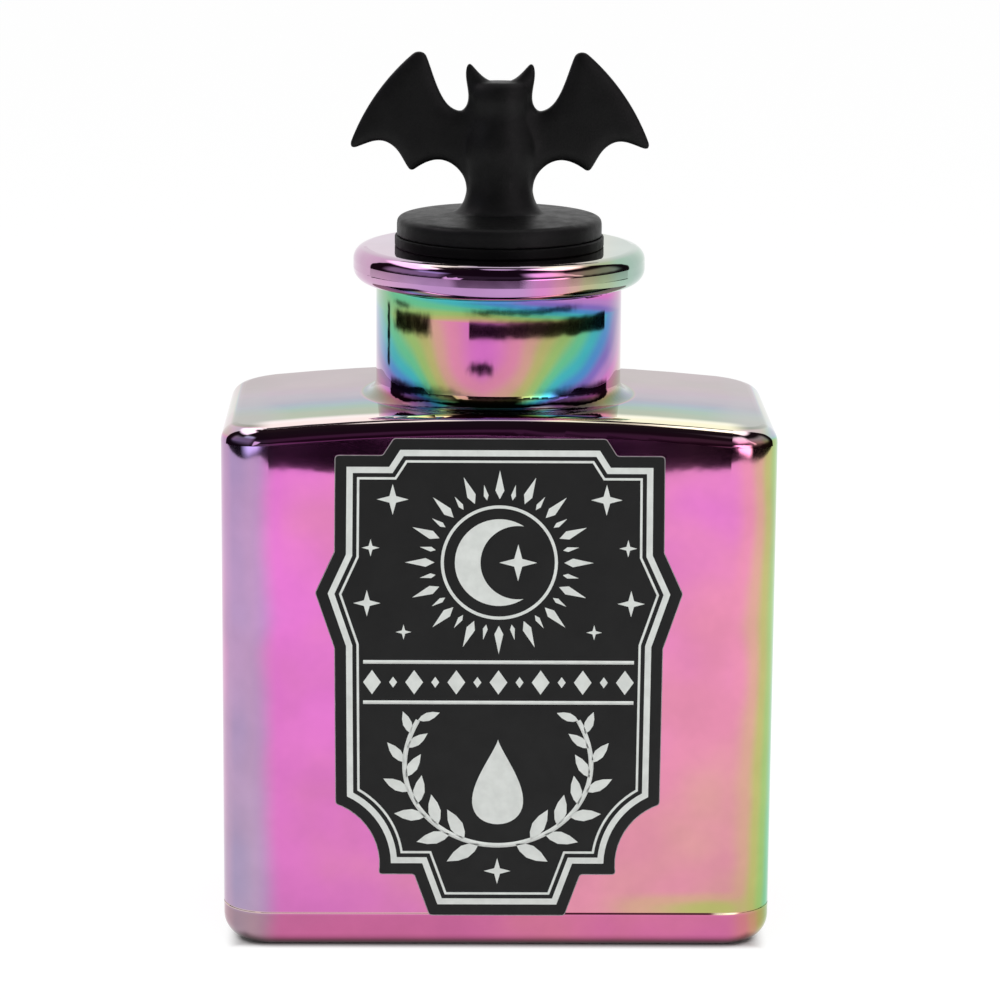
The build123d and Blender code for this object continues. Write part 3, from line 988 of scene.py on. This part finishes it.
def row_tree():
    """Geometry Nodes: stamps along a path in the label's plane, each turned to the path and leant from it"""
    inputs = {
        "Path": "Geometry", "Stamp": "Object", "Count": "Int", "Lean": "Float", "Second Lean": "Float",
        "Second Scale": "Float", "End Scale": "Float", "Material": "Material",
    }
    tree, given = new_group("printed_row", "GeometryNodeTree", inputs, {"Print": "Geometry"})
    curve = node(tree, "GeometryNodeMeshToCurve", {"Mesh": given["Path"]}).outputs["Curve"]
    places = node(tree, "GeometryNodeCurveToPoints", {"Curve": curve, "Count": given["Count"]}).outputs

    # Every second stamp has its own lean and scale
    index = node(tree, "GeometryNodeInputIndex").outputs["Index"]
    second = math_node(tree, "MODULO", index, 2.0)
    first = minus(tree, 1.0, second)
    tangent = parts_of(tree, places["Tangent"])
    along = math_node(tree, "ARCTAN2", tangent["X"], tangent["Z"])
    lean = plus(tree, times(tree, first, given["Lean"]), times(tree, second, given["Second Lean"]))
    turn = node(tree, "ShaderNodeCombineXYZ", {"Y": plus(tree, along, lean)}).outputs["Vector"]
    rotation = node(tree, "FunctionNodeEulerToRotation", {"Euler": turn}).outputs["Rotation"]

    # The scale changes evenly from 1 at the start to the end scale
    way = math_node(tree, "DIVIDE", index, minus(tree, given["Count"], 1.0))
    taper = math_node(tree, "MULTIPLY_ADD", way, minus(tree, given["End Scale"], 1.0), 1.0)
    scale = times(tree, taper, plus(tree, first, times(tree, second, given["Second Scale"])))
    size = node(tree, "ShaderNodeCombineXYZ", {"X": scale, "Y": 1.0, "Z": scale}).outputs["Vector"]

    source = node(tree, "GeometryNodeObjectInfo", {"Object": given["Stamp"]}).outputs["Geometry"]
    copies = node(tree, "GeometryNodeInstanceOnPoints", {
        "Points": places["Points"], "Instance": source, "Rotation": rotation, "Scale": size,
    })
    return finish_tree(tree, copies.outputs["Instances"], given["Material"], "Print")


def line_tree():
    """Geometry Nodes: a square-cut line of one width along a path"""
    inputs = {"Path": "Geometry", "Width": "Float", "Height": "Float", "Material": "Material"}
    tree, given = new_group("printed_line", "GeometryNodeTree", inputs, {"Line": "Geometry"})
    curve = node(tree, "GeometryNodeMeshToCurve", {"Mesh": given["Path"]}).outputs["Curve"]
    facing_front = {"Curve": curve, "Normal": (0, -1, 0)}
    turned = node(tree, "GeometryNodeSetCurveNormal", facing_front, mode="FREE").outputs["Curve"]
    section = node(tree, "GeometryNodeCurvePrimitiveQuadrilateral", {
        "Width": given["Height"], "Height": given["Width"],
    })
    swept = node(tree, "GeometryNodeCurveToMesh", {
        "Curve": turned, "Profile Curve": section.outputs["Curve"], "Fill Caps": True,
    })
    return finish_tree(tree, swept.outputs["Mesh"], given["Material"], "Line")


def path_object(name, points, depth, closed=False):
    """A path as a chain of edges in the plane y = depth"""
    count = len(points)
    edges = [(index, (index + 1) % count) for index in range(count if closed else count - 1)]
    return mesh_object(name, [(x, depth, z) for x, z in points], edges)


def grow(piece, tree, **values):
    """Runs a Geometry Nodes tree on a piece and keeps what it makes as a plain mesh"""
    modifier = piece.modifiers.new(tree.name, "NODES")
    modifier.node_group = tree
    for socket in tree.interface.items_tree:
        key = socket.name.lower().replace(" ", "_")
        if socket.in_out == "INPUT" and key in values:
            modifier[socket.identifier] = values[key]
    return apply_modifiers(piece)


def print_row(name, tree, points, outline, material, closed=False, **values):
    """A row of one ink shape along a path on the label"""
    piece = path_object(name, points, label_low.y, closed)
    mark = stamp(outline)
    grow(piece, tree, stamp=mark, material=material, **values)
    bpy.data.objects.remove(mark)
    return piece


def print_line(name, tree, points, material, width):
    """A ribbon of ink along an open path on the label"""
    middle = label_low.y + (INK_SUNK - INK_HEIGHT) / 2
    piece = path_object(name, points, middle)
    return grow(piece, tree, width=width, height=INK_HEIGHT + INK_SUNK, material=material)


def bezier(start, first, second, end, steps=40):
    """Points of a cubic curve"""
    points = []
    for step in range(steps + 1):
        t = step / steps
        weights = ((1 - t) ** 3, 3 * t * (1 - t) ** 2, 3 * t * t * (1 - t), t**3)
        points.append(tuple(
            sum(w * p[axis] for w, p in zip(weights, (start, first, second, end))) for axis in range(2)
        ))
    return points


def print_rules():
    """Two rules along the label's edge"""
    shape = bmesh.new()
    for inset, width in ((EDGE_RULE_INSET, EDGE_RULE_WIDTH), (FINE_RULE_INSET, FINE_RULE_WIDTH)):
        ink_ring(shape, label_outline(inset), label_outline(inset + width))
    return [ink_object("label_rules", shape, label_low.y)]


def print_moon(rows, ink):
    """A moon and a star in a ring of rays, and more stars at both sides"""
    moon = label_at(0, MOON_HEIGHT_SHARE)
    shape = bmesh.new()
    ring_inside = circle_outline(moon, MOON_RING_RADIUS - MOON_RING_WIDTH)
    ink_ring(shape, circle_outline(moon, MOON_RING_RADIUS), ring_inside)
    ink_patch(shape, crescent_outline(moon, MOON_RADIUS, MOON_BITE_RADIUS, MOON_BITE_SHIFT))
    for across, height, reach in STAR_PLACES:
        for side in (-1, 1):
            ink_patch(shape, star_outline(label_at(side * across, height), reach))
    ink_patch(shape, star_outline((moon[0] + MOON_BITE_SHIFT, moon[1]), MOON_BITE_SHIFT))
    waist = RAY_LENGTH * RAY_WAIST_SHARE
    ray = [(0, 0), (RAY_WIDTH / 2, waist), (0, RAY_LENGTH), (-RAY_WIDTH / 2, waist)]
    return [
        ink_object("label_moon", shape, label_low.y),
        print_row(
            "label_rays", rows, circle_outline(moon, RAY_RING_RADIUS, RAY_COUNT), ray, ink, closed=True,
            count=RAY_COUNT, lean=ACROSS_PATH, second_lean=ACROSS_PATH, second_scale=SHORT_RAY_SHARE,
            end_scale=1.0,
        ),
    ]


def print_band(rows, lines, ink):
    """A band of diamonds, large and small by turns, between two rules"""
    height = label_at(0, BAND_HEIGHT_SHARE)[1]
    half = label_high.x * BAND_HALF_WIDTH_SHARE
    pieces = []
    for name, rise in (("label_band_top", BAND_HALF_HEIGHT), ("label_band_foot", -BAND_HALF_HEIGHT)):
        rule = [(-half, height + rise), (half, height + rise)]
        pieces.append(print_line(name, lines, rule, ink, BAND_RULE_WIDTH))
    across, up = DIAMOND_WIDTH / 2, DIAMOND_HEIGHT / 2
    diamond = [(0, up), (across, 0), (0, -up), (-across, 0)]
    pieces.append(print_row(
        "label_diamonds", rows, [(across - half, height), (half - across, height)], diamond, ink,
        count=DIAMOND_COUNT, lean=ACROSS_PATH, second_lean=ACROSS_PATH, second_scale=SMALL_DIAMOND_SHARE,
        end_scale=1.0,
    ))
    return pieces


def print_drop(foot):
    """A drop, and a star under the foot of the sprigs"""
    shape = bmesh.new()
    ink_patch(shape, drop_outline(label_at(0, DROP_HEIGHT_SHARE), DROP_WIDTH, DROP_LENGTH))
    ink_patch(shape, star_outline((foot[0], foot[1] - FOOT_STAR_DROP), FOOT_STAR_REACH))
    return [ink_object("label_drop", shape, label_low.y)]


def print_sprig(name, side, foot, rows, lines, ink):
    """A sprig that bends up at one side of the drop, its leaves smaller towards its tip"""
    stem = bezier(foot, *(label_at(side * across, height) for across, height in SPRIG_BEND_SHARES))
    return [
        print_line(f"label_stem_{name}", lines, stem, ink, SPRIG_STEM_WIDTH),
        print_row(
            f"label_leaves_{name}", rows, stem[SPRIG_BARE_STEPS:], leaf_outline(), ink,
            count=LEAF_COUNT, lean=side * LEAF_LEAN, second_lean=-side * LEAF_LEAN,
            second_scale=1.0, end_scale=LEAF_TIP_SHARE,
        ),
    ]


def print_label(ink):
    """The white print: rules along the edge, a moon in rays, a band of diamonds, sprigs round a drop"""
    rows, lines = row_tree(), line_tree()
    foot = label_at(0, SPRIG_FOOT_SHARE)
    pieces = print_rules() + print_moon(rows, ink) + print_band(rows, lines, ink) + print_drop(foot)
    for name, side in (("left", -1), ("right", 1)):
        pieces += print_sprig(name, side, foot, rows, lines, ink)
    for piece in pieces:
        dress(piece, ink)
        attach(piece, "bottle")


def rounded(points, radius, steps=4):
    """A closed outline with its corners rounded. Those that hardly turn stay"""
    made = []
    for before, here, after in zip(points[-1:] + points[:-1], points, points[1:] + points[:1]):
        here = Vector(here)
        back, ahead = (Vector(before) - here), (Vector(after) - here)
        turn = math.pi - back.angle(ahead)
        if turn < CUT_CORNER_TURN:
            made.append(tuple(here))
            continue
        cut = min(radius * math.tan(turn / 2), back.length / 2, ahead.length / 2)
        start, end = here + back.normalized() * cut, here + ahead.normalized() * cut
        for step in range(steps + 1):
            t = step / steps
            made.append(tuple(start * (1 - t) ** 2 + here * 2 * t * (1 - t) + end * t * t))
    return made


def cut_edge(paper):
    """The pale cut edge of the label, which catches the light all round it"""
    path = rounded(label_outline(), CUT_CORNER_RADIUS)
    piece = path_object("label_cut_edge", path, label_low.y, closed=True)
    grow(piece, line_tree(), width=CUT_EDGE_WIDTH, height=CUT_EDGE_WIDTH / 2, material=paper)
    dress(piece, paper)
    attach(piece, "bottle")


def make_camera():
    """The photograph's camera"""
    forward = Vector((
        math.cos(CAMERA_PITCH) * math.sin(CAMERA_TURN),
        math.cos(CAMERA_PITCH) * math.cos(CAMERA_TURN),
        -math.sin(CAMERA_PITCH),
    ))
    level = Vector((math.cos(CAMERA_TURN), -math.sin(CAMERA_TURN), 0))
    above = level.cross(forward)
    right = level * math.cos(CAMERA_ROLL) + above * math.sin(CAMERA_ROLL)
    up = above * math.cos(CAMERA_ROLL) - level * math.sin(CAMERA_ROLL)
    data = bpy.data.cameras.new("camera")
    data.sensor_width = CAMERA_SENSOR
    data.lens = CAMERA_FOCAL_WIDTHS * CAMERA_SENSOR
    data.shift_x = CAMERA_SHIFT
    camera = new_object("camera", data)
    place = Vector((0, 0, CAMERA_AIM_HEIGHT)) - forward * CAMERA_DISTANCE
    axes = Matrix((right, up, -forward)).transposed()
    camera.matrix_world = Matrix.Translation(place) @ axes.to_4x4()
    bpy.context.scene.camera = camera


def seen_directly_or_mirrored(tree):
    """1 for what the camera sees itself, in a gloss or through glass, and 0 for light on other ways"""
    ray = node(tree, "ShaderNodeLightPath").outputs
    return larger(tree, larger(tree, ray["Is Camera Ray"], ray["Is Glossy Ray"]), ray["Is Transmission Ray"])


def make_world():
    """White where it is seen, and a soft even light on the object"""
    world = bpy.data.worlds.new("studio")
    bpy.context.scene.world = world
    world.use_nodes = True
    tree = world.node_tree
    background = tree.nodes["Background"]
    seen = seen_directly_or_mirrored(tree)
    strength = math_node(tree, "MULTIPLY_ADD", seen, 1 - UNSEEN_LIGHT, UNSEEN_LIGHT)
    feed(tree, background.inputs["Color"], (1, 1, 1, 1))
    feed(tree, background.inputs["Strength"], strength)


def contact_share(tree):
    """0 on the floor under the bottle, so that its full shadow shows there, and 1 clear of it"""
    parts = parts_of(tree, coordinates(tree, "Object"))
    past = [
        minus(tree, size_of(tree, parts[axis]), edge - CONTACT_REACH)
        for axis, edge in (("X", glass_high.x), ("Y", glass_high.y))
    ]
    return rises(tree, larger(tree, *past), 0.0, CONTACT_REACH)


def make_floor():
    """A white floor that keeps a soft part of the object's shadow"""
    edge = FLOOR_HALF_SIZE
    corners = [(-edge, -edge, 0), (edge, -edge, 0), (edge, edge, 0), (-edge, edge, 0)]
    floor = mesh_object("floor", corners, faces=[(0, 1, 2, 3)])
    material, tree = mixed_material("floor_white")
    matte = node(tree, "ShaderNodeBsdfDiffuse", {"Color": FLOOR_WHITE})
    white = node(tree, "ShaderNodeEmission", {"Color": (1, 1, 1, 1), "Strength": FLOOR_GLOW})
    share = times(tree, seen_directly_or_mirrored(tree), 1 - FLOOR_SHADOW_SHARE, contact_share(tree))
    mix_shaders(tree, share, matte, white)
    dress(floor, material)


def only_mirrored(sheet):
    """Hides a sheet of the studio from all but reflections"""
    sheet.visible_camera = False
    sheet.visible_diffuse = False
    sheet.visible_shadow = False
    sheet.visible_transmission = False
    sheet.visible_volume_scatter = False


def sheet_light(name, colour, strength, ragged):
    """Even light from a sheet, as far as the sheet's own share lets it through"""
    material, tree = mixed_material(name)
    light = node(tree, "ShaderNodeEmission", {"Color": (*colour, 1.0), "Strength": strength})
    clear = node(tree, "ShaderNodeBsdfTransparent")
    share = node(tree, "ShaderNodeAttribute", attribute_name="share").outputs["Fac"]
    place = coordinates(tree, "Object")
    stretched = node(tree, "ShaderNodeMapping", {"Vector": place, "Scale": TORN_STRETCH}).outputs["Vector"]
    noise = {"Vector": stretched, "Scale": TORN_SCALE, "Detail": 4.0, "Roughness": 0.7}
    uneven = minus(tree, node(tree, "ShaderNodeTexNoise", noise).outputs["Fac"], 0.5)
    torn = math_node(tree, "MULTIPLY_ADD", uneven, ragged, share)
    mix_shaders(tree, rises(tree, torn, 0.0, 1.0), clear, light)
    return material


def edge_share(place, low, high, blur):
    """1 between two values, falling to 0 over the blur inside each end"""
    return max(0.0, min(1.0, min(place - low, high - place) / blur))


def swept_sheet(name, profile, start, end, colour, strength, blur, ragged=0.0, lean=0.0):
    """A sheet swept round the bottle, which only reflections see.

    Turns are in degrees from the front, to the right. The blur is in degrees, and as a share of the profile.
    """
    count = len(profile)
    points, shares = [], []
    for index in range(ROOM_SEGMENTS + 1):
        turn = start + (end - start) * index / ROOM_SEGMENTS
        for step, (reach, height) in enumerate(profile):
            rise = step / (count - 1)
            swing = math.radians(turn + lean * rise)
            out = reach(abs(turn)) if callable(reach) else reach
            points.append((math.sin(swing) * out, -math.cos(swing) * out, height))
            shares.append(edge_share(turn, start, end, blur[0]) * edge_share(rise, 0, 1, blur[1]))
    faces = [
        (row * count + step, row * count + step + 1, (row + 1) * count + step + 1, (row + 1) * count + step)
        for row in range(ROOM_SEGMENTS)
        for step in range(count - 1)
    ]
    sheet = mesh_object(name, points, faces=faces)
    sheet.data.attributes.new("share", "FLOAT", "POINT").data.foreach_set("value", shares)
    dress(sheet, sheet_light(name, colour, strength, ragged))
    only_mirrored(sheet)


def even_steps(low, high):
    """Values from low to high in even steps"""
    return [low + (high - low) * step / PROFILE_STEPS for step in range(PROFILE_STEPS + 1)]


def upright(reach, low, high):
    """Profile of a wall at one reach"""
    return [(reach, height) for height in even_steps(low, high)]


def dome(reach, low, high):
    """Profile of a part of a ball round the bottle, between two rises in degrees"""
    angles = [math.radians(rise) for rise in even_steps(low, high)]
    return [(reach * math.cos(angle), EYE_HEIGHT + reach * math.sin(angle)) for angle in angles]


def floor_edge_reach(turn):
    """How far the lit floor reaches: less right in front than at the sides"""
    return BAND_RADIUS + BAND_GROWTH * (1 - math.exp(-max(0.0, turn - BAND_FLAT_TURN) / BAND_GROWTH_TURN))


def make_dark_room():
    """The unlit studio in front: low things past the lit floor, walls and ceiling, and lit panels"""
    room = ROOM_TURN
    walls = [*upright(ROOM_RADIUS, 0.0, 0.55), *dome(ROOM_DOME, 30, 84)]
    swept_sheet("room", walls, -room, room, UNLIT, 1.0, (0.4, 0.001))
    swept_sheet("room_back", dome(ROOM_DOME, 68, 84), room, 360 - room, UNLIT, 1.0, (0.1, 0.1))
    edge = upright(floor_edge_reach, -0.002, 0.015)
    swept_sheet("floor_edge", edge, -room, room, BLACK, 1.0, (3, 0.12), 0.5)
    # Dark things, by their turns, heights, blurs and raggedness
    for name, start, end, low, high, blur, ragged in (
        ("rail_right", -28.5, 116, 0.0395, 0.0463, (1.5, 0.18), 0.3),
        ("rail_left", -117, -62, 0.0385, 0.0475, (9, 0.25), 1.3),
        ("upper_rail_right", -36, 84, 0.0472, 0.0502, (22, 0.35), 0.9),
        ("upper_rail_left", -118, -84, 0.0472, 0.0496, (12, 0.4), 1.0),
        ("small_thing", -33, -1, 0.0280, 0.0335, (9, 0.4), 1.5),
        ("stand", -128, -120.5, 0.0270, 0.0480, (2.5, 0.05), 1.9),
    ):
        swept_sheet(name, upright(BAND_RADIUS, low, high), start, end, BLACK, 1.0, blur, ragged)
    # Lit panels, by their profiles, turns, light, blurs and leans
    for name, profile, start, end, colour, strength, blur, lean in (
        ("haze_front", dome(0.62, 4, 30), -62, 62, ROSY, 0.05, (14, 0.4), 0),
        ("haze_left", dome(0.61, 0, 36), -106, -40, LILAC, 0.40, (12, 0.3), 0),
        ("haze_right", dome(0.61, 0, 42), 42, 112, ROSY, 0.40, (12, 0.3), 0),
        ("panel_left", dome(0.60, 38, 66), -150, -70, ROSY, 2.6, (14, 0.25), 0),
        ("panel_left_end", dome(0.60, 25, 44), -80, -40, BLUISH, 0.9, (12, 0.4), 0),
        ("panel_right", dome(0.60, 50, 84), 56, 132, ROSY, 1.9, (14, 0.25), 0),
        ("panel_right_low", dome(0.58, 8, 56), 16, 60, ROSY, 1.6, (14, 0.35), 0),
        ("low_thing", upright(0.47, 0.052, 0.106), -41, 23, ROSY, 0.14, (9, 0.2), 0),
        ("blob_left", upright(0.40, 0.0262, 0.0385), -72, -12, BLUISH, 2.2, (22, 0.3), 0),
        ("blob_right", upright(0.40, 0.0270, 0.0385), 18, 58, ROSY, 3.2, (10, 0.2), 0),
        ("blob_right_top", upright(0.40, 0.0680, 0.1600), 14, 58, ROSY, 3.0, (12, 0.3), 0),
        ("glint_left", dome(0.57, 0, 16), -46, -30, ROSY, 1.3, (3, 0.2), 6),
        ("glint_right", dome(0.57, 4, 34), 60, 70, ROSY, 1.3, (3, 0.15), -16),
    ):
        swept_sheet(name, profile, start, end, colour, strength, blur, 0.0, lean)


def softbox(name, turn, rise):
    """An area lamp aimed at the bottle's middle, with its turn from the front and its rise in degrees"""
    data = bpy.data.lights.new(name, "AREA")
    data.shape = "RECTANGLE"
    data.size = data.size_y = SOFTBOX_SIZE
    data.energy = SOFTBOX_POWER
    lamp = new_object(name, data)
    turn, rise = math.radians(turn), math.radians(rise)
    away = Vector((math.sin(turn) * math.cos(rise), -math.cos(turn) * math.cos(rise), math.sin(rise)))
    lamp.location = Vector((0, 0, SOFTBOX_AIM_HEIGHT)) + away * SOFTBOX_DISTANCE
    lamp.rotation_mode = "QUATERNION"
    lamp.rotation_quaternion = away.to_track_quat("Z", "Y")
    lamp.visible_glossy = False


make_camera()
make_world()
make_floor()
make_dark_room()
softbox("left_softbox", -62, 48)
softbox("right_softbox", 58, 46)

MOTTLE = mottle_group()
silicone, zinc = milky_silicone(), zinc_plate()
for name, finish in (
    ("glass_bottle", iridescent_glass()), ("front_label", satin_black_film()), ("stopper_plug", plug_black()),
    ("seal_ring_upper", silicone), ("seal_ring_lower", silicone), ("plug_washer", zinc), ("plug_screw", zinc),
):
    dress(nodes[name], finish)
dress(soft_topper(), soft_black())
print_label(white_ink())
cut_edge(cut_paper())

bpy.context.scene.view_settings.view_transform = "Standard"
